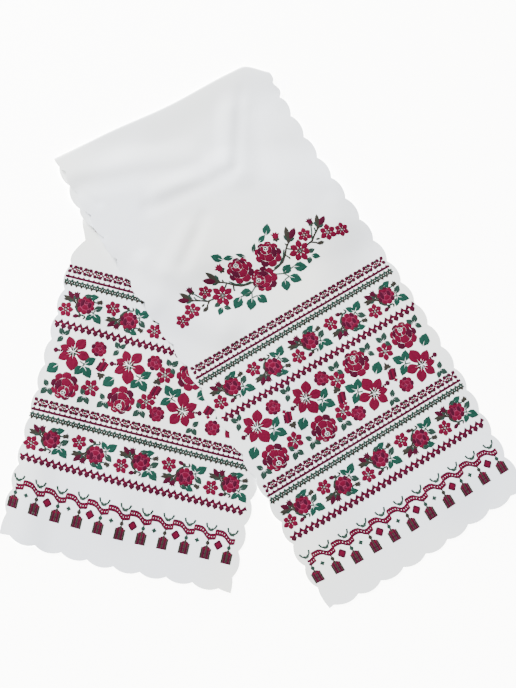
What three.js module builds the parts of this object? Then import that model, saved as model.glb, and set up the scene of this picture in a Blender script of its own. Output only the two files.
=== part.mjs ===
// Rushnyk: one long scalloped towel, folded once across its middle and laid flat with its two ends spread.
// Millimetres. The surface it lies on is z = 0, +Z is up, and the two patterned ends point towards -Y.
// A place on the flat cloth is given as (across, along): across runs from the middle line to the right-hand
// edge of the upper leg, and along runs from the tip of the upper leg, over the crease, to the other tip.

import * as THREE from 'three';

// The cloth. Its edge is a row of shallow arcs that meet in notches, and sizes are taken between the notches.
const cloth = { width: 354, thickness: 1.2 };
const scallop = { pitch: 40, depth: 6, cornerEase: 0.5 };

// The run from each corner to the first and the last notch. Tips are read from left to right of the upper leg,
// and long edges from its tip.
const runs = {
  right: { first: 16, last: 21 },
  left: { first: 35, last: 30 },
  upperTip: { first: 7, last: 25 },
  lowerTip: { first: 13, last: 17 },
};

// The two legs as they lie: the middle of each tip, and the turn of its borders from +X in degrees.
const upperLeg = { tipX: 268.7, tipY: -311.6, turn: 31.9 };
const lowerLeg = { tipX: -215.9, tipY: -336.2, turn: -13.2 };

// The crease crosses the middle line at this length from the upper tip, a little off square.
const crease = { along: 809, turn: -3.8, puff: 2.4, puffLength: 60 };

// Past the crease the under cloth turns towards the lower leg by a pleat, a wedge that runs back under itself.
// Its apex lies beyond the right-hand edge, and its outer fold leaves the apex at this turn.
const pleat = { apexAcross: 277, foldTurn: 5 };

// Layers lie this far apart, middle to middle, and a layer comes down to the surface over a soft slope.
const layer = { step: 2.4, overhang: 10, slope: 70 };

// Soft ridges along straight lines on the surface, from (x1, y1) to (x2, y2), and how far each side reaches.
// Those of the upper leg die out before the crease, over this length.
const ridgeStart = { clear: 12, length: 50 };
const ridges = [
  { on: 'upper', x1: -35, y1: 372, x2: -22, y2: 262, height: 3.2, reach: 40 },
  { on: 'upper', x1: -205, y1: 292, x2: -95, y2: 150, height: 3.0, reach: 68 },
  { on: 'upper', x1: 40, y1: 330, x2: 120, y2: 160, height: 2.6, reach: 72 },
  { on: 'upper', x1: -150, y1: 60, x2: -60, y2: 20, height: 3.4, reach: 44 },
  { on: 'upper', x1: 150, y1: -20, x2: 300, y2: -210, height: 2.4, reach: 80 },
  { on: 'upper', x1: 30, y1: -80, x2: 120, y2: -250, height: 2.2, reach: 68 },
  { on: 'lower', x1: -262, y1: 60, x2: -300, y2: -120, height: 2.6, reach: 52 },
  { on: 'lower', x1: -190, y1: -60, x2: -215, y2: -250, height: 2.2, reach: 72 },
  { on: 'lower', x1: -340, y1: -190, x2: -352, y2: -300, height: 2.4, reach: 44 },
];

// Gentle sideways sway of the upper leg: the length it is centred on, its shift and its half length.
const sways = [
  { along: 30, shift: -6, reach: 190 },
  { along: 330, shift: 4, reach: 260 },
  { along: 640, shift: -4, reach: 190 },
];

// The crease line is drawn in towards the leg, most of all at its rounded right-hand shoulder.
const creasePulls = [
  { across: 15, pull: 4, reach: 110 },
  { across: 196, pull: 34, reach: 50 },
];
const creasePullLength = 95;

// Both tips bow outwards in the middle and are drawn in at their left-hand corner, fading out up the leg.
const tipBows = [
  { across: -195, shift: 9, reach: 90 },
  { across: 0, shift: -3.5, reach: 120 },
];
const tipBowLength = 180;

// Where the under cloth turns, its left-hand edge is nipped inwards.
const nip = { x: -286, y: 166, pull: 13, reach: 44 };

// How finely the cloth is divided.
const mesh = { inset: 12, columns: 14, shoulderColumn: 154, rowSpacing: 25, perScallop: 4 };
const foldMesh = { steps: 3, margin: 5 };

const half = cloth.width / 2;
const rad = Math.PI / 180;
const floorLevel = cloth.thickness / 2;

const heading = (degrees) => new THREE.Vector2(Math.cos(degrees * rad), Math.sin(degrees * rad));
const clamp01 = (x) => Math.min(1, Math.max(0, x));
const ease = (x) => clamp01(x) ** 2 * (3 - 2 * clamp01(x));
const hump = (x) => (Math.abs(x) < 1 ? 0.5 + 0.5 * Math.cos(Math.PI * x) : 0);

// A panel lays flat cloth on the surface without stretch: start + across * a + along * b.
function panel(start, a, b) {
  const plan = (across, along) => start.clone().addScaledVector(a, across).addScaledVector(b, along);
  return { start, a, b, plan };
}

function mirror(v, axis) {
  return axis.clone().multiplyScalar(2 * v.dot(axis)).sub(v);
}

// A fold line in the flat cloth, through (0, along) at a turn in degrees.
function foldLine(along, turn) {
  const direction = heading(turn);
  const normal = new THREE.Vector2(-direction.y, direction.x);
  return {
    direction,
    normal,
    at: (across) => along + (across * direction.y) / direction.x,
    distance: (u, v) => u * normal.x + (v - along) * normal.y,
  };
}

// The next panel is the mirror image of the one before in their shared fold.
function foldOver(before, line) {
  const onLine = before.plan(0, line.at(0));
  const axis = before.plan(line.direction.x, line.at(0) + line.direction.y).sub(onLine).normalize();
  const start = mirror(before.start.clone().sub(onLine), axis).add(onLine);
  return panel(start, mirror(before.a, axis), mirror(before.b, axis));
}

// The upper leg and the under cloth past the crease.
const upper = panel(
  new THREE.Vector2(upperLeg.tipX, upperLeg.tipY),
  heading(upperLeg.turn),
  heading(upperLeg.turn + 90),
);
const creaseLine = foldLine(crease.along, crease.turn);
const under = foldOver(upper, creaseLine);

// The pleat turns the under cloth into the lower leg. Its apex is the one place that the turn leaves still,
// which gives the apex its length along the cloth, and the cloth its whole length.
const lowerA = heading(lowerLeg.turn);
const lowerB = heading(lowerLeg.turn - 90);
const gap = under.start.clone().addScaledVector(under.a, pleat.apexAcross)
  .sub(new THREE.Vector2(lowerLeg.tipX, lowerLeg.tipY)).addScaledVector(lowerA, -pleat.apexAcross);
const turnOfB = under.b.cross(lowerB);
const apexAlong = -gap.cross(lowerB) / turnOfB;
const apexToTip = gap.cross(under.b) / turnOfB;
const clothLength = apexAlong + apexToTip;

const wedge = Math.asin(Math.abs(turnOfB)) / 2 / rad;
const throughApex = (turn) => foldLine(apexAlong - pleat.apexAcross * Math.tan(turn * rad), turn);
const pleatFold = throughApex(pleat.foldTurn);
const pleatRoot = throughApex(pleat.foldTurn - wedge);
const back = foldOver(under, pleatFold);
const lower = foldOver(back, pleatRoot);

const panels = [upper, under, back, lower];
const folds = [creaseLine, pleatFold, pleatRoot];

// The scalloped edge: how far an arc stands out past the notch line, at a length along an edge.
const arcRadius = (scallop.pitch ** 2 / 4 + scallop.depth ** 2) / (2 * scallop.depth);

function edge(run, length) {
  const between = length - run.first - run.last;
  const pitch = between / Math.round(between / scallop.pitch);
  const out = (s) => {
    const phase = (s - run.first) / pitch;
    const x = (phase - Math.floor(phase) - 0.5) * scallop.pitch;
    const rise = Math.sqrt(arcRadius ** 2 - x ** 2) - (arcRadius - scallop.depth);
    return s < run.first || s > length - run.last ? rise * scallop.cornerEase : rise;
  };
  const step = pitch / mesh.perScallop;
  const stops = [];
  const start = run.first - Math.floor((run.first - step / 2) / step) * step;
  for (let s = start; s < length - step / 2; s += step) stops.push(s);
  return { out, stops };
}

const edges = {
  right: edge(runs.right, clothLength),
  left: edge(runs.left, clothLength),
  upperTip: edge(runs.upperTip, cloth.width),
  lowerTip: edge(runs.lowerTip, cloth.width),
};

// Outlines of the panels on the surface, anticlockwise, to find what lies over what.
function outline(index) {
  const from = index === 0 ? () => 0 : folds[index - 1].at;
  const to = index === folds.length ? () => clothLength : folds[index].at;
  const reach = half + scallop.depth;
  const corners = [
    panels[index].plan(-reach, from(-reach)),
    panels[index].plan(reach, from(reach)),
    panels[index].plan(reach, to(reach)),
    panels[index].plan(-reach, to(-reach)),
  ];
  return THREE.ShapeUtils.isClockWise(corners) ? corners.reverse() : corners;
}

const outlines = panels.map((_, index) => outline(index));

function outsideBy(p, corners) {
  let furthest = -Infinity;
  corners.forEach((a, i) => {
    const b = corners[(i + 1) % corners.length];
    const side = b.clone().sub(a).normalize();
    furthest = Math.max(furthest, (p.x - a.x) * side.y - (p.y - a.y) * side.x);
  });
  return furthest;
}

// 1 over a panel and a little past its edge, down to 0 where the cloth above has reached the surface.
const over = (p, index) => 1 - ease((outsideBy(p, outlines[index]) - layer.overhang) / layer.slope);

function ridgeHeight(p, on) {
  let sum = 0;
  for (const r of ridges) {
    if (r.on !== on) continue;
    const from = new THREE.Vector2(r.x1, r.y1);
    const run = new THREE.Vector2(r.x2, r.y2).sub(from);
    const t = p.clone().sub(from).dot(run) / run.lengthSq();
    const nearest = from.clone().addScaledVector(run, clamp01(t));
    sum += r.height * hump(nearest.distanceTo(p) / r.reach);
  }
  return sum;
}

// Height of the middle of the cloth where a panel lies at a place on the surface.
function height(index, p) {
  let z = floorLevel;
  for (let below = index + 1; below < panels.length; below += 1) z += layer.step * over(p, below);
  if (index === 0) {
    const fromCrease = -creaseLine.distance(...flatOfUpper(p));
    const share = ease((fromCrease - ridgeStart.clear) / ridgeStart.length);
    z += crease.puff * (1 - ease(fromCrease / crease.puffLength));
    z += ridgeHeight(p, 'upper') * share + ridgeHeight(p, 'lower');
  } else if (index === panels.length - 1) {
    z += ridgeHeight(p, 'lower');
  }
  return z;
}

function flatOfUpper(p) {
  const from = p.clone().sub(upper.start);
  return [from.dot(upper.a), from.dot(upper.b)];
}

// The small drifts of the real cloth, within the surface.
function drift(index, across, along, p) {
  const q = p.clone();
  const swaying = index === 0 ? sways : [];
  swaying.forEach((s) => q.addScaledVector(upper.a, s.shift * hump((along - s.along) / s.reach)));
  const inwards = index === 0 ? upper.b : lower.b.clone().negate();
  const nearTip = 1 - ease(Math.min(along, clothLength - along) / tipBowLength);
  tipBows.forEach((t) => q.addScaledVector(inwards, t.shift * nearTip * hump((across - t.across) / t.reach)));
  const [u, v] = flatOfUpper(p);
  const near = 1 - ease((creaseLine.at(u) - v) / creasePullLength);
  creasePulls.forEach((c) => q.addScaledVector(upper.b, -c.pull * near * hump((u - c.across) / c.reach)));
  if (index > 0) q.x += nip.pull * hump(Math.hypot(p.x - nip.x, p.y - nip.y) / nip.reach);
  return q;
}

// Where a place on the flat cloth lies in the folded towel. Within a fold the cloth rolls round half a circle.
function lay(across, along) {
  const index = folds.filter((line) => line.distance(across, along) > 0).length;
  for (let k = 0; k < folds.length; k += 1) {
    const line = folds[k];
    const d = line.distance(across, along);
    const foot = panels[k].plan(across - d * line.normal.x, along - d * line.normal.y);
    const highest = height(k, foot);
    const lowest = height(k + 1, foot);
    const radius = (highest - lowest) / 2;
    if (Math.abs(d) < (radius * Math.PI) / 2) {
      const inwards = panels[k].plan(-line.normal.x, -line.normal.y).sub(panels[k].start);
      const p = foot.addScaledVector(inwards, radius * (Math.PI / 2 - Math.cos(d / radius)));
      const q = drift(index, across, along, p);
      return new THREE.Vector3(q.x, q.y, (highest + lowest) / 2 - radius * Math.sin(d / radius));
    }
  }
  const p = panels[index].plan(across, along);
  const q = drift(index, across, along, p);
  return new THREE.Vector3(q.x, q.y, height(index, p));
}

// Rows run across the cloth. They start square, turn to follow each fold and are close together inside it.
const foldArc = (k) => ((layer.step + (k === 0 ? crease.puff : 0)) / 2) * (Math.PI / 2);

function spanRows(from, to) {
  const middle = to(0) - from(0);
  const count = Math.max(2, Math.round(middle / mesh.rowSpacing));
  return Array.from({ length: count - 1 }, (_, i) => {
    const share = (i + 1) / count;
    return (u) => from(u) * (1 - share) + to(u) * share;
  });
}

function foldRows(k) {
  const line = folds[k];
  const steps = [];
  for (let i = -foldMesh.steps; i <= foldMesh.steps; i += 1) steps.push((i / foldMesh.steps) * foldArc(k));
  const edge = foldArc(k) + foldMesh.margin;
  return [-edge, ...steps, edge].map((d) => (u) => line.at(u) + d / line.normal.y);
}

const rows = [() => mesh.inset];
const foldRowIndex = new Set();
folds.forEach((line, k) => {
  const around = foldRows(k);
  rows.push(...spanRows(rows.at(-1), around[0]));
  around.forEach((row) => {
    foldRowIndex.add(rows.length);
    rows.push(row);
  });
});
const farRow = () => clothLength - mesh.inset;
rows.push(...spanRows(rows.at(-1), farRow), farRow);

const innerHalf = half - mesh.inset;
const columns = Array.from({ length: mesh.columns + 1 }, (_, i) => innerHalf * ((2 * i) / mesh.columns - 1));
columns.splice(-1, 0, mesh.shoulderColumn);

// Flat places of every vertex: the inner grid first, then the scalloped edge all round it.
const flat = [];
rows.forEach((row) => columns.forEach((u) => flat.push([u, row(u)])));
const gridIndex = (row, column) => row * columns.length + column;

// A place's row or column number, with its fraction, which pairs the edge with the grid beside it.
function fraction(value, count, at) {
  if (value <= at(0)) return 0;
  for (let i = 1; i < count; i += 1) {
    if (value <= at(i)) return i - 1 + (value - at(i - 1)) / (at(i) - at(i - 1));
  }
  return count - 1;
}

// Along a long edge, the arcs' own stops give way to the rows of a fold where the two come close.
function longEdge(side) {
  const atEdge = side * half;
  const { out, stops: arcStops } = side > 0 ? edges.right : edges.left;
  const foldStops = [...foldRowIndex].map((row) => ({ v: rows[row](atEdge), number: row }));
  const stops = arcStops
    .filter((v) => foldStops.every((stop) => Math.abs(stop.v - v) > foldMesh.margin))
    .map((v) => ({ v, number: fraction(v, rows.length, (i) => rows[i](atEdge)) }));
  return [...stops, ...foldStops].sort((a, b) => a.v - b.v)
    .map(({ v, number }) => ({ place: [side * (half + out(v)), v], number }));
}

function shortEdge(end) {
  const { out, stops } = end > 0 ? edges.lowerTip : edges.upperTip;
  return stops.map((s) => {
    const place = [s - half, end > 0 ? clothLength + out(s) : -out(s)];
    return { place, number: fraction(s - half, columns.length, (i) => columns[i]) };
  });
}

// Both loops run anticlockwise in the flat cloth, and each stop carries its place round the loop as a number.
const lastRow = rows.length - 1;
const lastColumn = columns.length - 1;
const tipCorner = (side, end) => {
  const s = side > 0 ? cloth.width : 0;
  const long = side > 0 ? edges.right : edges.left;
  return end > 0
    ? [side * (half + long.out(clothLength)), clothLength + edges.lowerTip.out(s)]
    : [side * (half + long.out(0)), -edges.upperTip.out(s)];
};
const loopSides = [
  { stops: longEdge(1), flip: false, count: lastRow, at: tipCorner(1, -1) },
  { stops: shortEdge(1), flip: true, count: lastColumn, at: tipCorner(1, 1) },
  { stops: longEdge(-1), flip: true, count: lastRow, at: tipCorner(-1, 1) },
  { stops: shortEdge(-1), flip: false, count: lastColumn, at: tipCorner(-1, -1) },
];
const outer = [];
const inner = [];
let roundSoFar = 0;
const gridSide = [
  (i) => gridIndex(i, lastColumn),
  (i) => gridIndex(lastRow, lastColumn - i),
  (i) => gridIndex(lastRow - i, 0),
  (i) => gridIndex(0, i),
];
loopSides.forEach((side, k) => {
  outer.push({ vertex: flat.push(side.at) - 1, number: roundSoFar });
  const stops = side.flip ? [...side.stops].reverse() : side.stops;
  stops.forEach((stop) => {
    const number = side.flip ? side.count - stop.number : stop.number;
    outer.push({ vertex: flat.push(stop.place) - 1, number: roundSoFar + number });
  });
  for (let i = 0; i < side.count; i += 1) inner.push({ vertex: gridSide[k](i), number: roundSoFar + i });
  roundSoFar += side.count;
});

// Triangles of the flat cloth, anticlockwise: two a cell in the grid, and a band zipped to the edge.
const faces = [];
for (let row = 0; row < lastRow; row += 1) {
  for (let column = 0; column < lastColumn; column += 1) {
    const [a, b] = [gridIndex(row, column), gridIndex(row, column + 1)];
    const [c, d] = [gridIndex(row + 1, column + 1), gridIndex(row + 1, column)];
    faces.push([a, b, c], [a, c, d]);
  }
}
const closed = (loop) => [...loop, { vertex: loop[0].vertex, number: roundSoFar }];
const [outerLoop, innerLoop] = [closed(outer), closed(inner)];
for (let i = 0, j = 0; i < outerLoop.length - 1 || j < innerLoop.length - 1;) {
  const outerNext = i < outerLoop.length - 1 ? outerLoop[i + 1].number : Infinity;
  const innerNext = j < innerLoop.length - 1 ? innerLoop[j + 1].number : Infinity;
  if (outerNext <= innerNext) {
    faces.push([innerLoop[j].vertex, outerLoop[i].vertex, outerLoop[i + 1].vertex]);
    i += 1;
  } else {
    faces.push([innerLoop[j].vertex, outerLoop[i].vertex, innerLoop[j + 1].vertex]);
    j += 1;
  }
}

// The folded middle surface and its normals, which give the cloth its thickness to both sides.
const middle = new THREE.BufferGeometry();
const laid = flat.map(([u, v]) => lay(u, v));
middle.setAttribute('position', new THREE.Float32BufferAttribute(laid.flatMap((p) => p.toArray()), 3));
middle.setIndex(faces.flat());
middle.computeVertexNormals();
const normals = middle.getAttribute('normal');

const vertices = [];
[1, -1].forEach((side) => laid.forEach((p, i) => {
  const n = new THREE.Vector3().fromBufferAttribute(normals, i);
  vertices.push(p.clone().addScaledVector(n, (side * cloth.thickness) / 2));
}));
const below = laid.length;
const solidFaces = faces.flatMap(([a, b, c]) => [[a, b, c], [a + below, c + below, b + below]]);
outer.forEach(({ vertex: a }, i) => {
  const b = outer[(i + 1) % outer.length].vertex;
  solidFaces.push([a, a + below, b + below], [a, b + below, b]);
});

const geometry = new THREE.BufferGeometry();
geometry.setAttribute('position', new THREE.Float32BufferAttribute(vertices.flatMap((p) => p.toArray()), 3));
geometry.setIndex(solidFaces.flat());

// The origin is on the surface, under the middle of the towel's box.
geometry.computeBoundingBox();
const middleOfBox = geometry.boundingBox.getCenter(new THREE.Vector3());
geometry.translate(-middleOfBox.x, -middleOfBox.y, -geometry.boundingBox.min.z);

const whiteLinen = new THREE.MeshStandardMaterial({ color: '#e9ebec', roughness: 0.85, metalness: 0 });
const towelCloth = new THREE.Mesh(geometry, whiteLinen);
towelCloth.name = 'towel_cloth';

const towel = new THREE.Group();
towel.name = 'rushnyk';
towel.add(towelCloth);

export default towel;
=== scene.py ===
import bpy
import bmesh
import numpy as np
from mathutils import Matrix, Vector


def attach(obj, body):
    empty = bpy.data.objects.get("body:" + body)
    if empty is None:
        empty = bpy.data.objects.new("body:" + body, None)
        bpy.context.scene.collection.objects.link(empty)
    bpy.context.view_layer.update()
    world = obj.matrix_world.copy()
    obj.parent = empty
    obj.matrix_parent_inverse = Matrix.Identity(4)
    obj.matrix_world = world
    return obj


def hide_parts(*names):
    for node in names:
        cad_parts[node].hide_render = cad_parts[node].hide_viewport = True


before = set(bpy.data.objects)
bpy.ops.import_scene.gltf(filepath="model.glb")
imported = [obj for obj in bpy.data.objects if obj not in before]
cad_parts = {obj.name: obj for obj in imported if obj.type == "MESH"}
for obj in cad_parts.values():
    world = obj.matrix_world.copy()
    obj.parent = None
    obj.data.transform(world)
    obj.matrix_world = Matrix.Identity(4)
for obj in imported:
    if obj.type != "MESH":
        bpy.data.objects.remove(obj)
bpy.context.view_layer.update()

mm = 0.001
rad = np.pi / 180


# small helpers

def heading(degrees):
    return np.array([np.cos(degrees * rad), np.sin(degrees * rad)])


def ease(x):  # from 0 to 1, smooth at both ends
    x = np.clip(x, 0, 1)
    return x * x * (3 - 2 * x)


def hump(x):  # 1 in the middle, down to 0 at -1 and 1
    return np.where(np.abs(x) < 1, 0.5 + 0.5 * np.cos(np.pi * np.clip(x, -1, 1)), 0)


def linear(hexColour):  # sRGB hex to linear
    parts = [int(hexColour[i:i + 2], 16) / 255 for i in (1, 3, 5)]
    return tuple(c / 12.92 if c <= 0.04045 else ((c + 0.055) / 1.055) ** 2.4 for c in parts) + (1,)


def node(tree, kind, settings=None, links=None, **values):
    made = tree.nodes.new(kind)
    for name, value in (settings or {}).items():
        setattr(made, name, value)
    for name, value in values.items():
        made.inputs[name.replace("_", " ")].default_value = value
    for name, source in (links or {}).items():
        tree.links.new(source, made.inputs[name])
    return made


# how the towel lies, in mm: the sizes of its solid
# Only the thin cloth, the softer first ridge and the tucked pleat differ from it.

cloth = {
    "width": 354,
    "thickness": 0.7,
    "rest": 0.6,
    "foldReach": 12,
}
scallop = {"pitch": 40, "depth": 6, "cornerEase": 0.5}
runs = {
    "right": (16, 21),  # from the corner to the first and the last notch
    "left": (35, 30),
    "upperTip": (7, 25),
    "lowerTip": (13, 17),
}
upperLeg = {"tip": (268.7, -311.6), "turn": 31.9}
lowerLeg = {"tip": (-215.9, -336.2), "turn": -13.2}
crease = {"along": 809, "turn": -3.8, "puff": 2.4, "puffLength": 60}
pleat = {"apexAcross": 277, "foldTurn": 5}
layer = {"step": 2.4, "overhang": 10, "slope": 70}
ridgeStart = {"clear": 12, "length": 50}
ridges = [  # on, x1, y1, x2, y2, height, reach
    ("upper", -35, 372, -28, 276, 2.4, 40),
    ("upper", -205, 292, -95, 150, 3.0, 68),
    ("upper", 40, 330, 120, 160, 2.6, 72),
    ("upper", -150, 60, -60, 20, 3.4, 44),
    ("upper", 150, -20, 300, -210, 2.4, 80),
    ("upper", 30, -80, 120, -250, 2.2, 68),
    ("lower", -262, 60, -300, -120, 2.6, 52),
    ("lower", -190, -60, -215, -250, 2.2, 72),
    ("lower", -340, -190, -352, -300, 2.4, 44),
]
sways = [(30, -6, 190), (330, 4, 260), (640, -4, 190)]  # along, shift, reach
creasePulls = [(15, 4, 110), (196, 34, 50)]  # across, pull, reach
creasePullLength = 95
tipBows = [(-195, 9, 90), (0, -3.5, 120)]  # across, shift, reach
tipBowLength = 180
nip = {"x": -286, "y": 166, "pull": 13, "reach": 44}
# the hidden pleat's left corner is tucked in under the upper leg
pleatTuck = {"shift": 31, "reach": 125, "drop": 4, "dropReach": 60}
boxMiddle = np.array([14.510, 21.124])  # the middle of the towel's box in these sizes
half = cloth["width"] / 2


def dot(p, v):
    return p[:, 0] * v[0] + p[:, 1] * v[1]


def mirror(v, axis):
    return 2 * np.dot(v, axis) * axis - v


# a flat stretch of the folded cloth: where its start and its two directions lie on the floor
class Panel:
    def __init__(self, start, a, b):
        self.start, self.a, self.b = np.array(start, float), a, b

    def plan(self, u, v):
        return self.start + np.outer(u, self.a) + np.outer(v, self.b)

    def flat(self, p):
        return dot(p - self.start, self.a), dot(p - self.start, self.b)


# a line over the flat cloth, by its place along the middle and its turn
class Fold:
    def __init__(self, along, turn):
        self.along, self.direction = along, heading(turn)
        self.normal = np.array([-self.direction[1], self.direction[0]])

    def at(self, u):
        return self.along + u * self.direction[1] / self.direction[0]

    def distance(self, u, v):
        return u * self.normal[0] + (v - self.along) * self.normal[1]


def foldOver(before, fold):  # the next panel, turned over the fold
    onLine = before.plan([0], [fold.along])[0]
    axis = before.a * fold.direction[0] + before.b * fold.direction[1]
    start = mirror(before.start - onLine, axis) + onLine
    return Panel(start, mirror(before.a, axis), mirror(before.b, axis))


def cross(a, b):
    return a[0] * b[1] - a[1] * b[0]


# The pleat's two folds meet at an apex, and take up the turn between the two legs.
upper = Panel(upperLeg["tip"], heading(upperLeg["turn"]), heading(upperLeg["turn"] + 90))
creaseFold = Fold(crease["along"], crease["turn"])
under = foldOver(upper, creaseFold)
lowerA, lowerB = heading(lowerLeg["turn"]), heading(lowerLeg["turn"] - 90)
gap = under.start + under.a * pleat["apexAcross"] - np.array(lowerLeg["tip"]) - lowerA * pleat["apexAcross"]
turnOfB = cross(under.b, lowerB)
apexAlong = -cross(gap, lowerB) / turnOfB
clothLength = apexAlong + cross(gap, under.b) / turnOfB
wedge = np.arcsin(abs(turnOfB)) / 2 / rad


def throughApex(turn):
    return Fold(apexAlong - pleat["apexAcross"] * np.tan(turn * rad), turn)


folds = [creaseFold, throughApex(pleat["foldTurn"]), throughApex(pleat["foldTurn"] - wedge)]
back = foldOver(under, folds[1])
lower = foldOver(back, folds[2])
panels = [upper, under, back, lower]
print("cloth length in mm:", round(clothLength, 2))


def panelOutline(index):  # the corners of a panel, anticlockwise
    reach = half + scallop["depth"]
    u = np.array([-reach, reach, reach, -reach])
    first = (lambda x: 0) if index == 0 else folds[index - 1].at
    last = (lambda x: clothLength) if index == 3 else folds[index].at
    corners = panels[index].plan(u, [first(-reach), first(reach), last(reach), last(-reach)])
    area = sum(cross(corners[i], corners[(i + 1) % 4]) for i in range(4))
    return corners if area > 0 else corners[::-1]


outlines = [panelOutline(i) for i in range(4)]


def over(p, index):  # 1 over a panel, down to 0 where the cloth above has reached the surface
    furthest = np.full(len(p), -np.inf)
    corners = outlines[index]
    for i in range(4):
        side = corners[(i + 1) % 4] - corners[i]
        side = side / np.hypot(*side)
        out = (p[:, 0] - corners[i][0]) * side[1] - (p[:, 1] - corners[i][1]) * side[0]
        furthest = np.maximum(furthest, out)
    return 1 - ease((furthest - layer["overhang"]) / layer["slope"])


def ridgeHeight(p, on, rows):  # what the rounded ridges of a table add over the points
    total = np.zeros(len(p))
    for where, x1, y1, x2, y2, height, reach in rows:
        if where == on:
            start, run = np.array([x1, y1]), np.array([x2 - x1, y2 - y1])
            t = np.clip(dot(p - start, run) / np.dot(run, run), 0, 1)
            nearest = start + np.outer(t, run)
            total += height * hump(np.hypot(*(nearest - p).T) / reach)
    return total


# the finer creases of the thin cloth, over the main ones: on, x1, y1, x2, y2, height, reach
creases = [
    ("upper", -28, 411, -32, 281, -1.1, 15),
    ("upper", -48, 394, -49, 290, 1.0, 24),
    ("upper", -51, 293, -154, 234, 1.4, 24),
    ("upper", -45, 268, -169, 213, -1.2, 20),
    ("upper", -281, 244, -89, 277, -1.3, 24),
    ("upper", -288, 273, -108, 305, 1.1, 28),
    ("upper", -140, 38, -35, 8, -1.5, 26),
    ("upper", -18, 49, -53, -4, -1.3, 15),
    ("upper", -171, 129, -97, 70, 1.7, 26),
    ("upper", -284, 238, -247, 218, -0.9, 10),
    ("upper", -271, 200, -240, 166, -0.9, 10),
    ("upper", -264, 159, -227, 128, -1.0, 11),
    ("upper", -107, 180, -140, 117, 0.9, 22),
    ("upper", -82, 200, -113, 126, -0.9, 18),
    ("upper", 6, 356, 66, 220, 0.8, 30),
    ("upper", 50, 373, 113, 245, -0.7, 26),
    ("upper", 18, 21, 112, 69, 0.7, 24),
    ("upper", 220, -40, 330, -190, 0.6, 22),
    ("upper", 90, -150, 190, -300, -0.6, 24),
    ("lower", -300, 40, -318, -60, 0.7, 14),
    ("lower", -240, 20, -262, -90, -0.5, 18),
    ("lower", -150, -180, -168, -290, 0.5, 20),
]


def fromTuck(p):  # the distance from the hidden pleat's left corner
    return np.hypot(*(p - under.plan([-half], [folds[1].at(-half)])).T)


def height(index, p):  # how high the middle of the cloth lies over the points of a panel
    z = np.full(len(p), float(cloth["rest"]))
    for below in range(index + 1, 4):
        z += layer["step"] * over(p, below)
    if index == 0:
        u, v = upper.flat(p)
        fromCrease = -creaseFold.distance(u, v)
        share = ease((fromCrease - ridgeStart["clear"]) / ridgeStart["length"])
        z += crease["puff"] * (1 - ease(fromCrease / crease["puffLength"]))
        z += ridgeHeight(p, "upper", ridges) * share + ridgeHeight(p, "lower", ridges)
        z += ridgeHeight(p, "upper", creases) * share * over(p, 1)
        z -= pleatTuck["drop"] * hump(fromTuck(p) / pleatTuck["dropReach"])
    elif index == 3:
        z += ridgeHeight(p, "lower", ridges)
        z += np.maximum(ridgeHeight(p, "lower", creases), 0)
    return z


# small shifts over the floor: the swaying sides, the bowed tips and the pulled crease
def drift(index, across, along, p):
    q = p.copy()
    if index == 0:
        for centre, shift, reach in sways:
            q += np.outer(shift * hump((along - centre) / reach), upper.a)
    inwards = upper.b if index == 0 else -lower.b
    nearTip = 1 - ease(np.minimum(along, clothLength - along) / tipBowLength)
    for centre, shift, reach in tipBows:
        q += np.outer(shift * nearTip * hump((across - centre) / reach), inwards)
    u, v = upper.flat(p)
    near = 1 - ease((creaseFold.at(u) - v) / creasePullLength)
    for centre, pull, reach in creasePulls:
        q -= np.outer(pull * near * hump((u - centre) / reach), upper.b)
    if index > 0:
        q[:, 0] += nip["pull"] * hump(np.hypot(p[:, 0] - nip["x"], p[:, 1] - nip["y"]) / nip["reach"])
    if index in (1, 2):
        q += np.outer(pleatTuck["shift"] * hump(fromTuck(p) / pleatTuck["reach"]), upper.a)
    return q


def lay(across, along):  # from the flat cloth to its middle surface, in mm, with rounded folds
    across, along = np.asarray(across, float), np.asarray(along, float)
    index = sum((f.distance(across, along) > 0).astype(int) for f in folds)
    place = np.zeros((len(across), 3))
    for k in range(4):
        m = index == k
        if m.any():
            p = panels[k].plan(across[m], along[m])
            place[m, 2] = height(k, p)
            place[m, :2] = drift(k, across[m], along[m], p)
    for k, fold in enumerate(folds):
        m = np.abs(fold.distance(across, along)) < cloth["foldReach"]
        if not m.any():
            continue
        u, v = across[m], along[m]
        d = fold.distance(u, v)
        foot = panels[k].plan(u - d * fold.normal[0], v - d * fold.normal[1])
        top, bottom = height(k, foot), height(k + 1, foot)
        radius = (top - bottom) / 2
        rolled = np.abs(d) < radius * np.pi / 2
        inwards = -(panels[k].a * fold.normal[0] + panels[k].b * fold.normal[1])
        angle = np.clip(d / radius, -np.pi / 2, np.pi / 2)
        p = foot + np.outer(radius * (np.pi / 2 - np.cos(angle)), inwards)
        z = (top + bottom) / 2 - radius * np.sin(angle)
        q = np.zeros_like(p)
        for side in range(4):
            s = index[m] == side
            if s.any():
                q[s] = drift(side, u[s], v[s], p[s])
        where = np.flatnonzero(m)[rolled]
        place[where, :2] = q[rolled]
        place[where, 2] = z[rolled]
    return place


def laid(across, along, lift=0.0):  # in metres, and lifted off the face that the cloth's front shows
    step = 0.5
    across, along = np.asarray(across, float), np.asarray(along, float)
    middle = lay(across, along)
    if np.any(lift):
        du = lay(across + step, along) - lay(across - step, along)
        dv = lay(across, along + step) - lay(across, along - step)
        n = np.cross(du, dv)
        n /= np.linalg.norm(n, axis=1)[:, None]
        middle = middle + n * np.reshape(lift, (-1, 1))
    middle[:, :2] -= boxMiddle
    return middle * mm


# camera, floor and light

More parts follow.
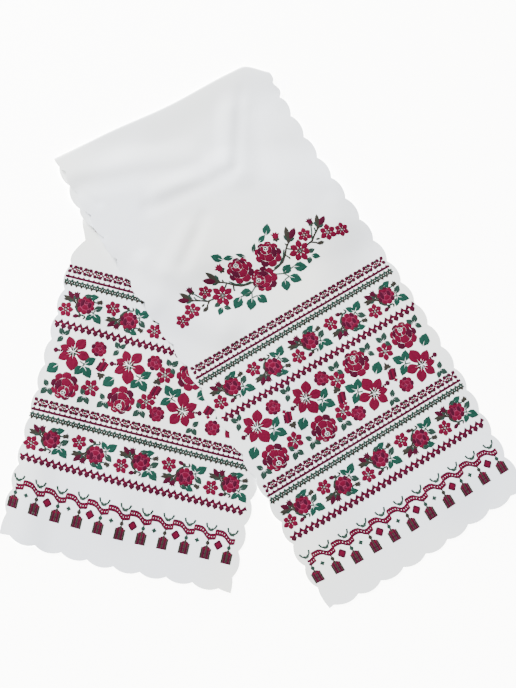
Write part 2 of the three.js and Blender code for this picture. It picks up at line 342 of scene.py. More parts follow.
camera = {
    "place": (-134.57, -231.53, 1783.6),
    "target": (-14.51, -21.12, 0),
    "focalPixels": 1158.5,
    "photoHeight": 688,
    "sensor": 36,
}
studio = {
    "floorSize": 4,
    "floorColour": "#fbfbf9",
    "glowColour": "#fffffb",
    "glow": 9.0,
    "skyColour": "#ffffff",
    "sky": 0.55,
    "key": {"place": (-3.6, 4.2, 1.75), "size": 2.2, "watts": 2200},
    "fill": {"place": (2.2, -2.8, 3.4), "size": 2.4, "watts": 240},
}
eye, target = Vector(camera["place"]) * mm, Vector(camera["target"]) * mm
forward = (target - eye).normalized()
rightward = forward.cross(Vector((0, 1, 0))).normalized()
upward = rightward.cross(forward)
cameraData = bpy.data.cameras.new("camera")
cameraData.sensor_fit = "VERTICAL"
cameraData.sensor_height = camera["sensor"]
cameraData.lens = camera["focalPixels"] / camera["photoHeight"] * camera["sensor"]
cameraObject = bpy.data.objects.new("camera", cameraData)
turned = Matrix((rightward, upward, -forward)).transposed().to_4x4()
cameraObject.matrix_world = Matrix.Translation(eye) @ turned
bpy.context.collection.objects.link(cameraObject)
bpy.context.scene.camera = cameraObject

floorMesh = bpy.data.meshes.new("floor")
bm = bmesh.new()
bmesh.ops.create_grid(bm, x_segments=1, y_segments=1, size=studio["floorSize"])
bm.to_mesh(floorMesh)
bm.free()
floor = bpy.data.objects.new("floor", floorMesh)
bpy.context.collection.objects.link(floor)
floorPaint = bpy.data.materials.new("pale studio board")
floorPaint.use_nodes = True
shader = floorPaint.node_tree.nodes["Principled BSDF"]
shader.inputs["Base Color"].default_value = linear(studio["floorColour"])
shader.inputs["Roughness"].default_value = 0.9
shader.inputs["Emission Color"].default_value = linear(studio["glowColour"])
shader.inputs["Emission Strength"].default_value = studio["glow"]
floorMesh.materials.append(floorPaint)

world = bpy.data.worlds.new("studio")
bpy.context.scene.world = world
world.use_nodes = True
sky = world.node_tree.nodes["Background"]
sky.inputs["Color"].default_value = linear(studio["skyColour"])
sky.inputs["Strength"].default_value = studio["sky"]


def softBox(name, place, size, watts):
    data = bpy.data.lights.new(name, "AREA")
    data.shape = "SQUARE"
    data.size = size
    data.energy = watts
    lamp = bpy.data.objects.new(name, data)
    lamp.location = place
    lamp.rotation_euler = (-Vector(place)).to_track_quat("-Z", "Y").to_euler()
    bpy.context.collection.objects.link(lamp)


softBox("key", **studio["key"])
softBox("fill", **studio["fill"])
print("camera, floor and two soft boxes are set")

# the white cloth

whiteCloth = {"columns": 80, "rowSpacing": 4.6, "foldMargin": 6, "foldSteps": 12, "edgeBand": 16}


def edgeOut(s, length, run):  # how far an arc of the edge stands out past its notches
    first, last = run
    between = length - first - last
    count = round(between / scallop["pitch"])
    phase = (s - first) / (between / count)
    x = (phase - np.floor(phase) - 0.5) * scallop["pitch"]
    radius = (scallop["pitch"] ** 2 / 4 + scallop["depth"] ** 2) / (2 * scallop["depth"])
    rise = np.sqrt(radius ** 2 - x ** 2) - (radius - scallop["depth"])
    return np.where((s < first) | (s > length - last), rise * scallop["cornerEase"], rise)


def notches(length, run):
    first, last = run
    count = round((length - first - last) / scallop["pitch"])
    return first + np.arange(count + 1) * (length - first - last) / count


def snapped(values, stops):  # moves the nearest value onto each stop
    values = values.copy()
    for stop in stops:
        values[np.argmin(np.abs(values - stop))] = stop
    return values


def clothGrid():
    u0 = np.linspace(-half, half, whiteCloth["columns"] + 1)
    keys = [np.zeros_like(u0)]
    for k, fold in enumerate(folds):
        arc = (layer["step"] + (crease["puff"] if k == 0 else 0)) / 2 * np.pi / 2 + whiteCloth["foldMargin"]
        keys += [fold.at(u0) - arc, fold.at(u0) + arc]
    keys.append(np.full_like(u0, clothLength))
    rows = []
    for i, (a, b) in enumerate(zip(keys, keys[1:])):
        inFold = i % 2 == 1
        count = whiteCloth["foldSteps"] if inFold else int(round((b - a).mean() / whiteCloth["rowSpacing"]))
        rows += [a + (b - a) * j / count for j in range(count)]
    rows.append(keys[-1])
    v = np.array(rows)
    u = np.tile(u0, (len(v), 1))
    for column, name in ((0, "left"), (-1, "right")):
        v[:, column] = snapped(v[:, column], notches(clothLength, runs[name]))
    for row, name in ((0, "upperTip"), (-1, "lowerTip")):
        u[row] = snapped(u[row], notches(cloth["width"], runs[name]) - half)
    band = whiteCloth["edgeBand"]
    side = np.clip((np.abs(u) - (half - band)) / band, 0, 1) ** 2
    rightOut = edgeOut(v, clothLength, runs["right"])
    leftOut = edgeOut(v, clothLength, runs["left"])
    farEnd = np.clip((v - (clothLength - band)) / band, 0, 1) ** 2
    nearEnd = np.clip((band - v) / band, 0, 1) ** 2
    lowerOut = edgeOut(u + half, cloth["width"], runs["lowerTip"])
    upperOut = edgeOut(u + half, cloth["width"], runs["upperTip"])
    return u + side * np.where(u > 0, rightOut, -leftOut), v + farEnd * lowerOut - nearEnd * upperOut


def addPiece(name, mesh):
    piece = bpy.data.objects.new(name, mesh)
    bpy.context.collection.objects.link(piece)
    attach(piece, "root")
    return piece


u, v = clothGrid()
rowCount, columnCount = u.shape
flatU, flatV = u.ravel(), v.ravel()
points = laid(flatU, flatV)
corner = np.arange(rowCount * columnCount).reshape(rowCount, columnCount)
faces = np.stack([corner[:-1, :-1], corner[:-1, 1:], corner[1:, 1:], corner[1:, :-1]], -1).reshape(-1, 4)
clothMesh = bpy.data.meshes.new("towel_linen")
clothMesh.from_pydata(points.tolist(), [], faces.tolist())
uvLayer = clothMesh.uv_layers.new(name="flat")
order = faces.ravel()
uvLayer.data.foreach_set("uv", np.stack([flatU[order], flatV[order]], -1).ravel() * mm)
clothMesh.shade_smooth()
towel = addPiece("towel_linen", clothMesh)
thicken = towel.modifiers.new("thickness", "SOLIDIFY")
thicken.thickness = cloth["thickness"] * mm
thicken.offset = 0
crisp = towel.modifiers.new("crisp rim", "EDGE_SPLIT")
crisp.split_angle = 50 * rad
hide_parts("towel_cloth")
print("white cloth:", len(points), "vertices")

weave = {
    "roughness": 0.85,
    "shine": 0.1,
    "slubs": ((1100, 110, 1), (110, 1100, 1)),  # threads of 0.4 mm, drawn 1 mm wide so that they show
    "raise": 0.3,
    "depth": 0.0003,
    "drift": 3.2,
    "tones": ((0.38, "#edf2f9"), (0.62, "#f4f6f1")),
}

# bleached plain-woven cotton: matt and cool white, with faint slubs along and across
bleachedCloth = bpy.data.materials.new("bleached plain weave cotton")
bleachedCloth.use_nodes = True
tree = bleachedCloth.node_tree
shader = tree.nodes["Principled BSDF"]
shader.inputs["Roughness"].default_value = weave["roughness"]
shader.inputs["Specular IOR Level"].default_value = weave["shine"]
flatMap = node(tree, "ShaderNodeUVMap", {"uv_map": "flat"})
slubs = []
for stretch in weave["slubs"]:
    squeezed = node(tree, "ShaderNodeMapping", links={"Vector": flatMap.outputs["UV"]}, Scale=stretch)
    drawnOut = {"Vector": squeezed.outputs["Vector"]}
    slubs.append(node(tree, "ShaderNodeTexNoise", links=drawnOut, Scale=1, Detail=2))
woven = node(tree, "ShaderNodeMath", {"operation": "MAXIMUM"})
tree.links.new(slubs[0].outputs["Fac"], woven.inputs[0])
tree.links.new(slubs[1].outputs["Fac"], woven.inputs[1])
raised = node(tree, "ShaderNodeBump", links={"Height": woven.outputs["Value"]},
              Strength=weave["raise"], Distance=weave["depth"])
tree.links.new(raised.outputs["Normal"], shader.inputs["Normal"])
drifts = node(tree, "ShaderNodeTexNoise", links={"Vector": flatMap.outputs["UV"]},
              Scale=weave["drift"], Detail=1)
tones = node(tree, "ShaderNodeValToRGB", links={"Fac": drifts.outputs["Fac"]})
for stop, (place, colour) in zip(tones.color_ramp.elements, weave["tones"]):
    stop.position = place
    stop.color = linear(colour)
tree.links.new(tones.outputs["Color"], shader.inputs["Base Color"])
clothMesh.materials.append(bleachedCloth)

# the pattern, in mm: x across the leg, y up it from its tip
# A patch is a thread colour and an outline that is filled from its middle.
# The thread colours are darker than they look, because the bright light on the white cloth lifts them.

threads = {  # name: colour, material name, record slot
    "crimson": ("#570323", "crimson cotton thread", "crimson_thread"),
    "wine": ("#3b031d", "wine red cotton thread", "crimson_thread"),
    "rose": ("#792946", "faded rose cotton thread", "crimson_thread"),
    "green": ("#113a30", "leaf green cotton thread", "green_thread"),
    "moss": ("#1e342d", "moss green cotton thread", "green_thread"),
    "sage": ("#32423a", "sage green cotton thread", "green_thread"),
    "olive": ("#292722", "dark olive cotton thread", "dark_thread"),
}


def placed(patches, x, y, turn=0, size=1, flip=False):
    c, s = np.cos(turn * rad), np.sin(turn * rad)
    up = -1 if flip else 1
    moved = []
    for colour, outline in patches:
        px, py = outline[:, 0] * size, outline[:, 1] * size * up
        moved.append((colour, np.stack([x + px * c - py * s, y + px * s + py * c], -1)))
    return moved


def shape(colour, *points):
    return [(colour, np.array(points, float))]


def bar(colour, x1, y1, x2, y2, width):
    along = np.array([x2 - x1, y2 - y1])
    aside = np.array([-along[1], along[0]]) / np.hypot(*along) * (width / 2 + 0.3)
    a, b = np.array([x1, y1]), np.array([x2, y2])
    return [(colour, np.array([a - aside, b - aside, b + aside, a + aside]))]


def stem(colour, width, *points):
    made = []
    for (x1, y1), (x2, y2) in zip(points, points[1:]):
        made += bar(colour, x1, y1, x2, y2, width)
    return made


def diamond(colour, x, y, width, height):
    return shape(colour, (x + width / 2, y), (x, y + height / 2), (x - width / 2, y), (x, y - height / 2))


# a petal or a leaf, from its stalk to its tip
def petal(colour, x, y, turn, start, length, width, fullness=1.25, roundness=0.75, split=0.0, notch=0.0,
          steps=6, slitEnd=0.8):
    s = np.linspace(0, 1, steps + 1)
    w = width / 2 * np.sin(np.pi * s ** fullness).clip(0) ** roundness
    if notch:
        w[1:-1:2] *= 1 - notch
    along = start + s * length
    if split:
        slit = split / 2 * (1 - s / slitEnd).clip(0)
        w = np.maximum(w, slit)
        halves = []
        for side in (1, -1):
            top = np.stack([along, side * w], -1)
            low = np.stack([along, side * slit], -1)[[steps, steps // 2, 0]]
            halves.append((colour, np.concatenate([top[1:-1], low])))
    else:
        top, low = np.stack([along, w], -1), np.stack([along, -w], -1)
        halves = [(colour, np.concatenate([top, low[-2:0:-1]]))]
    return placed(halves, x, y, turn)


def even(count, start):
    return [start + 360 / count * k for k in range(count + 1)]


# petals between two circles that need not share their middle, parted at the given turns
def ringPetals(colours, inY, inR, outY, outR, breaks, gap, lobe=0.1):
    made = []
    for k, (a0, a1) in enumerate(zip(breaks, breaks[1:])):
        t = np.linspace(-1, 1, 7)
        mid, reach = (a0 + a1) / 2 * rad, (a1 - a0) / 2 * rad
        outA = mid + t * (reach - gap / 2 / outR)
        inA = mid + t[::2][::-1] * (reach - gap / 2 / inR)
        r = outR * (1 - lobe * t ** 4)
        outer = np.stack([r * np.cos(outA), outY + r * np.sin(outA)], -1)
        inner = np.stack([inR * np.cos(inA), inY + inR * np.sin(inA)], -1)
        made.append((colours[k % len(colours)], np.concatenate([outer, inner])))
    return made


def bigRose():  # 42 mm across, its heart towards +y
    return (
        ringPetals(["olive"], 10.4, 1.2, 10.4, 2.9, even(3, 20), 1.1, 0)
        + ringPetals(["crimson"], 10.2, 4.2, 8.8, 8.8, [-100, 20, 118, 260], 0.95, 0.02)
        + ringPetals(["crimson", "wine", "crimson"], 8.6, 9.4, 3.6, 15.1,
                     [-128, -62, 0, 60, 124, 180, 232], 0.68, 0.04)
        + ringPetals(["crimson", "crimson", "wine"], 3.3, 15.6, 0, 21.6,
                     [-112, -66, -24, 14, 50, 88, 128, 166, 206, 248], 0.76, 0.15)
    )


def roseGround(radius):
    turns = np.arange(0, 360, 20) * rad
    return [("rose", radius * np.stack([np.cos(turns), np.sin(turns)], -1))]


def smallRose():  # 24 mm across
    return (
        roseGround(11.0)
        + ringPetals(["wine"], 2.4, 0.9, 2.4, 2.0, even(3, 30), 1.2, 0)
        + ringPetals(["crimson"], 1.8, 3.2, 0.7, 6.8, [-130, -40, 40, 130, 230], 1.2, 0.04)
        + ringPetals(["crimson", "wine", "crimson"], 0.5, 7.7, 0, 12.2, even(8, -110), 1.15, 0.12)
    )


def garlandRose():  # 28 mm across
    return (
        roseGround(12.6)
        + ringPetals(["wine"], 4.6, 0.9, 4.6, 2.2, even(3, 20), 1.2, 0)
        + ringPetals(["crimson", "wine"], 3.8, 3.5, 2.2, 8.4, [-132, -50, 32, 118, 228], 1.25, 0.04)
        + ringPetals(["crimson", "wine", "crimson"], 1.6, 9.3, 0, 14.0, even(9, -110), 1.2, 0.1)
    )


def flower(radius, petals=6):
    made = []
    for k in range(petals):
        reach = radius * (1.04 if k % 2 else 0.96)
        made += petal("crimson", 0, 0, 10 + 360 / petals * k, radius * 0.16, reach - radius * 0.16,
                      radius * 3.7 / petals, 1.25, 1.0)
    for k in range(petals):
        made += petal("olive", 0, 0, 10 + 360 / petals * (k + 0.5), 0.6, radius * 0.26, radius * 0.08,
                      1, 0.8, steps=3)
    return made


lilyPetals = [  # turn, start, length, width
    (97, 3.6, 26.0, 19.0),
    (38, 4.2, 21.5, 13.5),
    (-12, 6.0, 16.5, 11),
    (-60, 4.4, 20.5, 14.0),
    (-121, 4.2, 23.0, 16.5),
    (172, 3.8, 23.5, 15.5),
]


def lily():  # six petals, the largest towards +y, and a bud on a barred stem towards +x
    made = []
    for turn, start, length, width in lilyPetals:
        made += petal("crimson", 0, 0, turn, start - 0.6, length + 0.6, width, 1.14, 0.92,
                      split=1.2, steps=8, slitEnd=0.6)
    for k, turn in enumerate((20, 66, 118, 145, 205, 262, 310)):
        reach = (6.2, 5.0, 6.5, 4.6, 6.0, 5.4, 4.8)[k]
        made += petal("moss" if k % 2 else "olive", 0, 0, turn, 1.1, reach + 0.8, 2.3, 1.4, 0.7, steps=3)
    for k in range(4):
        made += bar("wine", 10 + 3.4 * k, 1.4 + 0.4 * k, 12.6 + 3.4 * k, 1.7 + 0.4 * k, 2.6)
    return made + petal("wine", 23, 3, 5, 0, 7.5, 7.5, 1, 0.6)


def leaf(x, y, turn, length, width, colour="green"):  # x and y are at its stalk
    return petal(colour, x, y, turn, 0.2, length * 1.16, width * 1.2, 0.84, 1.0,
                 split=0.085 * length, notch=0.1, steps=8)


budSize = 1.45


def barredBud():  # a rosebud of slanting bars, 12 mm at size 1, with its dark calyx towards +y
    made = []
    for k in range(4):
        x, short = -3.6 + 2.4 * k, 1.3 * abs(k - 1.5)
        made += bar("wine" if k % 2 else "crimson", x - 1.4, -6.4 + short, x + 1.8, 6.4 - short, 2.2)
    made += diamond("crimson", 0.6, -7.4, 5, 4.4)
    return made + calyx(-0.6, 8.4, 90, 7.2)


def calyx(x, y, turn, length):
    made = []
    for k in (-2, -1, 0, 1, 2):
        reach = length * (0.72 if k else 1)
        made += petal("olive", x, y, turn + 46 * k, -0.6, reach, length * 0.42, 0.9, 0.8, steps=4)
    return made


def starBud(x, y, turn, size=1.0, colour="wine"):
    made = petal(colour, x, y, turn, -4.2 * size, 9.6 * size, 8.0 * size, 0.9, 0.7)
    for k in (-1.5, -0.5, 0.5, 1.5):
        made += petal(colour, x, y, turn + 34 * k, 2.0 * size, 5.4 * size, 2.6 * size, 0.8, 0.8, steps=3)
    for side in (-1, 1):
        made += petal("olive", x, y, turn + 180 + 38 * side, 1.2 * size, 5.6 * size, 3.0 * size,
                      1, 0.8, steps=4)
    return made + petal("olive", x, y, turn + 180, 2.4 * size, 5.0 * size, 3.6 * size, 1, 0.8, steps=4)


def longBud(x, y, turn, size):  # x and y are at its foot
    made = petal("wine", x, y, turn - 14, 4.4 * size, 16 * size, 7.4 * size, 1, 0.75)
    made += petal("olive", x, y, turn + 16, 2.6 * size, 18 * size, 6.0 * size, 1, 0.75)
    made += petal("moss", x, y, turn + 38, 2.0 * size, 9 * size, 3.2 * size, 1, 0.8, steps=4)
    made += petal("moss", x, y, turn - 40, 2.0 * size, 8 * size, 3.0 * size, 1, 0.8, steps=4)
    return made + petal("olive", x, y, turn, -1.4, 8 * size, 4.6 * size, 1, 0.7, steps=4)


bandRepeat = 88  # from one lily to the next


def bigBandHalf():  # one half of the widest band; the other half is this one turned half round
    made = []
    for k in range(2):
        x = -47.6 - bandRepeat * k
        made += placed(lily(), x, 24, 180)
        made += placed(bigRose(), x, -30, 180)
        made += placed(smallRose(), x + 36.8, 37.8, -60)
        made += placed(flower(14.4), x + 38.6, -23.4)
        made += leaf(x + 21, 9.5, 42, 17, 11) + leaf(x + 19, 6, -122, 15.5, 11.5)
        made += leaf(x + 21, 6, -48, 17.5, 12.5)
        made += stem("sage", 1.4, (x + 13.5, 12), (x + 21, 9.5), (x + 19, 6))
        made += leaf(x - 17.6, -0.1, -135, 18.5, 15)
        made += leaf(x - 21, 45.6, 132, 11, 7.5, "moss") + leaf(x - 20, 46, 52, 10, 6.5, "moss")
        made += leaf(x - 21, 43.5, -125, 11, 7, "moss")
        made += leaf(x - 25, -36.5, 128, 10.5, 7, "moss") + leaf(x - 25.4, -38.5, -125, 12, 8, "moss")
        made += leaf(x - 23, -38, -58, 11, 7.5, "moss")
        made += leaf(x + 32, -36.5, 128, 10.5, 7, "moss") + leaf(x + 31.6, -38.5, -125, 12, 8, "moss")
        made += leaf(x + 34, -38, -58, 11, 7.5, "moss")
    return made + placed(barredBud(), -87.4, 12.6, 180, budSize)


def bigBand():
    oneHalf = bigBandHalf()
    return oneHalf + placed(barredBud(), 0.6, -3.6, 0, budSize) + placed(oneHalf, 0, 0, 180)


def garlandUnit():  # about its rose; the next unit along is its mirror image
    made = placed(garlandRose(), 0, 0)
    made += leaf(-6, 12.8, 20, 12, 6, "moss") + leaf(2.5, 13.5, 18, 13, 8)
    made += leaf(14.5, -4.5, 38, 13, 8, "moss")
    made += leaf(14, -11, -128, 12.5, 7.5) + leaf(14.8, -9.6, -42, 16.5, 11)
    made += stem("sage", 1.4, (11.5, -7), (14.5, -9.5), (15.5, -4))
    made += stem("moss", 1.5, (9, 11), (13, 8), (17, 8.6)) + starBud(20.2, 9.8, 20, 0.72, "olive")
    made += starBud(-16.4, 11.4, 112, 1.0)
    made += longBud(-17.5, 2.2, 147, 0.98)
    made += placed(flower(12.4), -28.4, -12.6)
    made += stem("olive", 2.0, (-17.5, 2.2), (-14, -1), (-14.5, -6))
    made += stem("olive", 1.7, (-16, 5), (-12.5, 1.5), (-12, -4))
    made += stem("moss", 1.7, (-14.5, -6), (-10.5, -11.5), (-4, -15.5), (3, -16.5))
    made += stem("olive", 1.5, (-12, -4), (-11.5, -9), (-6, -14))
    made += petal("wine", -6.5, -17.5, 200, 0, 9.5, 6, 1, 0.7)
    made += petal("olive", -3, -16.5, 205, 0, 6, 5, 1, 0.8)
    made += petal("olive", 4, -16.8, 235, 0, 6, 2.4, 1, 0.8, steps=4)
    return made + petal("olive", -30.5, 2.4, 170, -3, 8, 3, 1.3, 0.8, steps=4)


repeats = {  # how many there are and how far apart, in each row
    "garland": (5, 70.3),
    "cross": (22, 16.05),
    "tooth": (44, 8.02),
    "spade": (35, 10.02),
    "tassel": (11, 33.3),
}


def centres(name):  # the middle of each repeat along its row
    count, pitch = repeats[name]
    return [(k - (count - 1) / 2) * pitch for k in range(count)]


def garland():
    made = []
    for k, x in enumerate(centres("garland")):
        down = k % 2 != 0
        made += placed(garlandUnit(), 5.5 + x, -3.2 if down else 3.2, flip=down)
    return made


def crossRow():  # crosses of four blades, with dark diamonds between
    made, places = [], centres("cross")
    for x in places:
        for q in range(4):
            made += petal("wine", x, 0, 45 + 90 * q, 1.0, 7.8, 5.6, 1.3, 0.95, steps=4)
        made += diamond("crimson", x, 0, 3.2, 3.2)
        if x < places[-1]:
            made += diamond("olive", x + 8.02, 3.6, 4.8, 5.2) + diamond("olive", x + 8.02, -3.6, 4.8, 5.2)
            made += bar("crimson", x + 4.6, 0.2, x + 11.4, -0.2, 1.6)
    return made


def toothedLine():  # one long line with a tooth on each stretch
    made = []
    for x in centres("tooth"):
        made += bar("wine", x - 4.02, 0, x + 4.02, 0, 3.0)
        made += shape("wine", (x - 2.3, 0.9), (x + 2.3, 0.9), (x + 0.2, 4.2))
    return made


def latticeRow():  # a moss zigzag over an olive one, with a tooth on each turn
    made = []
    for x in centres("tooth"):
        for up, colour in ((1, "moss"), (-1, "olive")):
            made += bar(colour, x - 4.0, -2.9 * up, x, 2.9 * up, 1.5)
            made += bar(colour, x, 2.9 * up, x + 4.0, -2.9 * up, 1.5)
            made += shape(colour, (x - 2.9, 2.6 * up), (x, 6.2 * up), (x + 2.9, 2.6 * up))
    return made


def spadeChain():  # a zigzag with triangles above and spades below
    made = []
    for x in centres("spade"):
        made += bar("crimson", x - 5.0, 2.4, x, -0.4, 2.7) + bar("wine", x, -0.4, x + 5.0, 2.4, 2.7)
        made += shape("wine", (x + 0.8, 1.6), (x + 9.0, 1.6), (x + 5.4, 7.6))
        made += shape("wine",
                      (x, -8.0), (x + 2.2, -5.8), (x + 4.2, -3.8), (x + 3.6, -1.4), (x + 0.9, -0.4),
                      (x - 0.9, -0.4), (x - 3.6, -1.4), (x - 4.2, -3.8), (x - 2.2, -5.8))
        made += diamond("olive", x, -3.8, 4.0, 5.4)
    return made


# the wavy chain: the heights of its links from one dip to the next, and the link with the upright edge
chain = {"swag": [-4.9, -4.3, -2.6, 4.1, 4.6, 4.4, 3.9, 1.2, -3.2], "link": 3.7, "upright": 2, "endLinks": 2}


def chainLinks(x, count):
    made, swag, upright = [], chain["swag"], chain["upright"]
    for i, y in enumerate(swag[:count]):
        a, b = x + chain["link"] * (i - 0.5), x + chain["link"] * (i + 0.5)
        left = y if i == upright + 1 else (swag[i - 1] + y) / 2
        right = y if i == upright else (y + swag[(i + 1) % len(swag)]) / 2
        made += shape("wine", (a, left + 1.0), (b, right + 1.0), (b, right + 4.6), (a, left + 4.6))
        made += shape("wine", (a, left - 4.6), (b, right - 4.6), (b, right - 1.0), (a, left - 1.0))
        made += bar("crimson", b, right - 3.8, b, right + 3.8, 2.0)
        if i == upright:
            made += bar("crimson", b, y - 3.6, b, 7.7, 2.2)
    return made


def twigs(x):  # two arms over a dip of the chain, crossed at their foot
    made = []
    for side in (1, -1):
        arm = ((0, 4.4), (3.0, 6.4), (6.0, 9.6))
        made += stem("moss", 1.5, *[(x + side * px, py) for px, py in arm])
        made += stem("moss", 2.0, (x + side * 6.2, 9.8), (x + side * 7.9, 14.6))
        made += bar("sage", x - 3.2 * side, 4.4, x + 3.2 * side, 8.8, 1.0)
    return made


def tassel(x, bead):  # a bead on a thread, over a head of upright bars
    made = bar("olive", x, -8.4, x, -12, 1.2)
    made += shape("rose", (x + 7.4, -22.6), (x, -17.8), (x - 7.4, -22.6), (x - 7.4, -38.4), (x + 7.4, -38.4))
    made += petal(bead, x, -14.4, 90, -3.3, 6.6, 5.4, 1, 0.6)
    for j in range(-2, 3):
        top = -18.2 - 2.1 * abs(j)
        made += bar("wine" if j % 2 else "olive", x + 3.2 * j, top, x + 3.2 * j, -38.4, 2.2)
    made += bar("wine", x - 7.4, -37.4, x + 7.4, -37.4, 1.6)
    made += bar("crimson", x - 7.2, -24, x + 7.2, -24, 1.6)
    return made + bar("wine", x - 7.2, -31, x + 7.2, -31, 1.2)


def smallCross(x, y):
    made = []
    for q in range(4):
        made += petal("moss", x, y, 90 * q, 0.0, 3.7, 2.9, 1, 0.7, steps=3)
    return made


def framedDiamond(x, y):
    made = diamond("crimson", x, y, 11.4, 12.2)
    for q in range(4):
        c, s = np.cos(90 * q * rad), np.sin(90 * q * rad)
        made += bar("wine", x + 6.0 * c, y + 6.4 * s, x - 6.0 * s, y + 6.4 * c, 2.0)
    return made


def tasselBand():
    made, places = [], [x - 1 for x in centres("tassel")]
    for k, x in enumerate(places):
        last = k == len(places) - 1
        made += chainLinks(x, chain["endLinks"] if last else len(chain["swag"])) + twigs(x)
        made += tassel(x, "olive" if k % 2 else "moss")
        if not last:
            made += (framedDiamond if k % 2 else smallCross)(x + repeats["tassel"][1] / 2, -13.8)
    return made


def sprigHalf():  # about the middle of the sprig, towards +x
    made = placed(bigRose(), 25.4, 19, -8, 0.96)
    made += placed(flower(17.4, 7), 70.4, -1, turn=8) + placed(flower(11.4), 90, 17)
    made += placed(flower(13.4), 123, 2) + placed(flower(11.6), 144, -5)
    made += starBud(50.4, 37, 70, 1.15, "crimson") + starBud(108.5, 30, 88, 1.0)
    made += longBud(62, 19, 50, 1.3) + longBud(113, 15, 45, 1.15)
    made += leaf(39, 46.5, 50, 17, 11) + leaf(23, 42.5, 20, 14, 7.5) + leaf(6.5, 33, 48, 14, 5.5, "moss")
    made += leaf(25, -28, -112, 16, 12.5) + leaf(34, -27, -50, 17.5, 13)
    made += leaf(29, -19, 25, 15.5, 12) + leaf(48, -17, -32, 18.5, 13.5)
    made += stem("sage", 1.5, (17, -13), (29, -19), (48, -17))
    made += stem("sage", 1.3, (29, -19), (34, -27), (25, -28))
    made += leaf(79.5, -9, -5, 10, 6.5, "moss") + leaf(79, -17, -135, 10.5, 6.5, "moss")
    made += leaf(81.5, -16, -40, 12, 7.5)
    made += stem("olive", 2.0, (17, -7), (28, -5.5), (38, -2.5), (47, 5), (54, 13), (62, 19))
    made += stem("moss", 1.7, (21, -4.4), (33, -2.6), (43, 4), (50, 13))
    made += stem("olive", 1.8, (47, 5), (50, -1), (50.5, -4))
    made += stem("olive", 1.7, (54, 13), (60, 8), (63, 7))
    made += petal("olive", 58, 14.5, 100, 0, 7, 2.4, 1, 0.8, steps=4)
    made += petal("olive", 64, 20.5, -5, 0, 8, 2.6, 1, 0.8, steps=4)
    made += stem("olive", 2.1, (85, 1.5), (95, 3), (103, 9), (113, 15))
    made += stem("moss", 1.7, (95, 3), (103, 17), (107.5, 26))
    made += stem("moss", 1.7, (103, 9), (108, 13), (109, 19))
    made += stem("olive", 1.7, (92, 2), (98, -2), (101, -5))
    made += petal("olive", 98.5, -5, -15, 0, 12, 6.5, 1.1, 0.7, notch=0.2)
    return made + petal("olive", 101, 2, -20, 0, 7, 3, 1, 0.8)


def sprig():  # two mirrored halves, with a third rose below the middle
    oneSide = sprigHalf()
    otherSide = [(colour, outline * np.array([-1, 1])) for colour, outline in oneSide]
    return oneSide + otherSide + placed(bigRose(), -1, -11.5, 72, 0.93)


patternRows = [  # motif, y on the middle line
    (sprig, 499),
    (crossRow, 420),
    (toothedLine, 407.4),
    (latticeRow, 398.6),
    (garland, 365.7),
    (spadeChain, 333.2),
    (bigBand, 271.2),
    (crossRow, 208),
    (toothedLine, 196.4),
    (latticeRow, 187.2),
    (garland, 154.2),
    (spadeChain, 122),
    (tasselBand, 77.2),
]

ends = {  # the pattern's own small shift and slope on each leg
    "upper": {"middle": -1, "rise": 0, "slope": -0.019, "face": 1},
    "lower": {"middle": -4, "rise": 1, "slope": -0.010, "face": -1},
}
stitch = {
    "thread": {"rim": 0.42, "crown": 0.62, "spread": 0.34, "layUp": 0.012},
    "ground": {"rim": 0.37, "crown": 0.38, "spread": 0, "layUp": 0},  # the rose thread, under the petals
    "ringOver": 4.0,  # a patch that reaches further has a second ring of points
    "reverse": -0.5,  # the height on the other face, as a share
}


def endPattern():
    made = []
    for motif, y in patternRows:
        made += placed(motif(), 0, y)
    return made


# the patches as low domes that follow the cloth
def stitchedMesh(name, patches, end, share, base, profile):
    flat, lift, triangles = [], [], []
    for k, outline in enumerate(patches):
        count, first = len(outline), len(flat)
        layUp = base + profile["layUp"] * (k % 6)  # crossing stitches lie one over another
        middle = outline.mean(0)
        wider = 1 + profile["spread"] / np.hypot(*(outline - middle).T)
        outline = middle + (outline - middle) * wider[:, None]
        far = np.hypot(*(outline - middle).T).max()
        rings = [1.0, 0.55] if far > stitch["ringOver"] else [1.0]
        for i, ring in enumerate(rings):
            flat += (middle + (outline - middle) * ring).tolist()
            lift += [profile["crown" if i else "rim"] + layUp] * count
            if i:
                a = first + np.arange(count)
                b = first + (np.arange(count) + 1) % count
                triangles += np.stack([a, b, b + count], -1).tolist()
                triangles += np.stack([a, b + count, a + count], -1).tolist()
        top = first + count * (len(rings) - 1)
        flat.append(middle.tolist())
        lift.append(profile["crown"] + layUp)
        triangles += [[top + j, top + (j + 1) % count, len(flat) - 1] for j in range(count)]
    flat, lift = np.array(flat), np.array(lift)
    across = flat[:, 0] + end["middle"]
    fromTip = flat[:, 1] + end["rise"] + end["slope"] * flat[:, 0]
    along = fromTip if end["face"] > 0 else clothLength - fromTip
    if share < 0:  # on the reverse, where the towel lies on the floor, the thread is pressed flatter
        rim = stitch["thread"]["rim"]
        lift = -(rim + (lift - rim) * -share)
    points = laid(across, along, lift * end["face"])
    a, b, c = (points[np.array(triangles)[:, i]] for i in range(3))
    turned = np.cross(b - a, c - a)[:, 2] * share < 0
    triangles = np.array(triangles)
    triangles[turned] = triangles[turned][:, ::-1]
    made = bpy.data.meshes.new(name)
    made.from_pydata(points.tolist(), [], triangles.tolist())
    flatMap = made.uv_layers.new(name="flat")
    order = triangles.ravel()
    flatMap.data.foreach_set("uv", np.stack([across[order], along[order]], -1).ravel() * mm)
    made.shade_smooth()
    return made, len(triangles)


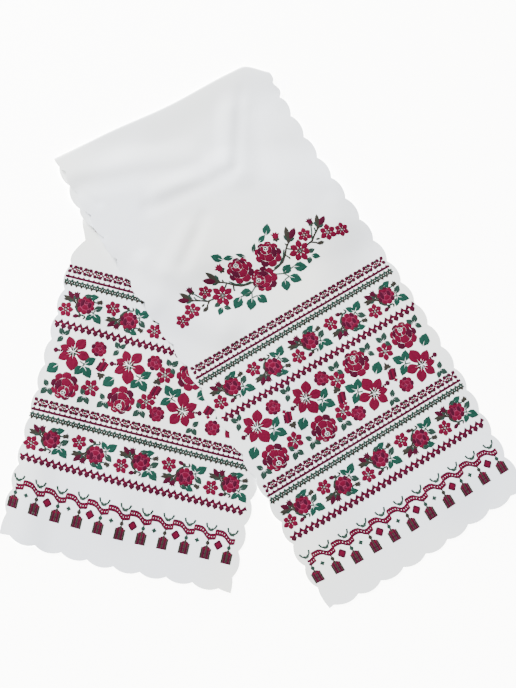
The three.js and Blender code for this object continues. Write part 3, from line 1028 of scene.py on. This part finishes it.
strand = {
    "roughness": 0.8,
    "shine": 0.08,
    "stretch": (240, 1500, 1),  # strands 0.7 mm apart, about the real width, and 4 mm long
    "raise": 0.4,
    "depth": 0.0003,
    "tones": ((0.3, 0.72), (0.7, 1.28)),
}


# soft cotton thread: matt, its stitches lying side by side across the motif
def threadMaterial(name, hexColour):
    made = bpy.data.materials.new(name)
    made.use_nodes = True
    tree = made.node_tree
    shader = tree.nodes["Principled BSDF"]
    shader.inputs["Roughness"].default_value = strand["roughness"]
    shader.inputs["Specular IOR Level"].default_value = strand["shine"]
    flatMap = node(tree, "ShaderNodeUVMap", {"uv_map": "flat"})
    strands = node(tree, "ShaderNodeMapping", links={"Vector": flatMap.outputs["UV"]},
                   Scale=strand["stretch"])
    fibre = node(tree, "ShaderNodeTexNoise", links={"Vector": strands.outputs["Vector"]}, Scale=1, Detail=2)
    tones = node(tree, "ShaderNodeValToRGB", links={"Fac": fibre.outputs["Fac"]})
    base = linear(hexColour)
    for stop, (place, share) in zip(tones.color_ramp.elements, strand["tones"]):
        stop.position = place
        stop.color = tuple(c * share for c in base[:3]) + (1,)
    tree.links.new(tones.outputs["Color"], shader.inputs["Base Color"])
    raised = node(tree, "ShaderNodeBump", links={"Height": fibre.outputs["Fac"]},
                  Strength=strand["raise"], Distance=strand["depth"])
    tree.links.new(raised.outputs["Normal"], shader.inputs["Normal"])
    return made


threadMaterials = {name: threadMaterial(words, colour) for name, (colour, words, _) in threads.items()}
pattern = endPattern()
for leg, end in ends.items():
    for face, share in (("", 1), ("_reverse", stitch["reverse"])):  # the pattern shows on both faces
        total = 0
        for order, (thread, (_, _, slot)) in enumerate(threads.items()):
            patches = [outline for colour, outline in pattern if colour == thread]
            profile = stitch["ground" if thread == "rose" else "thread"]
            base = order * profile["layUp"] / 4
            mesh, count = stitchedMesh(f"{leg}_{thread}_stitches{face}", patches, end, share, base, profile)
            mesh.materials.append(threadMaterials[thread])
            addPiece(mesh.name, mesh)
            total += count
        print(leg, "leg's pattern" + face.replace("_", " ") + ":", total, "triangles")
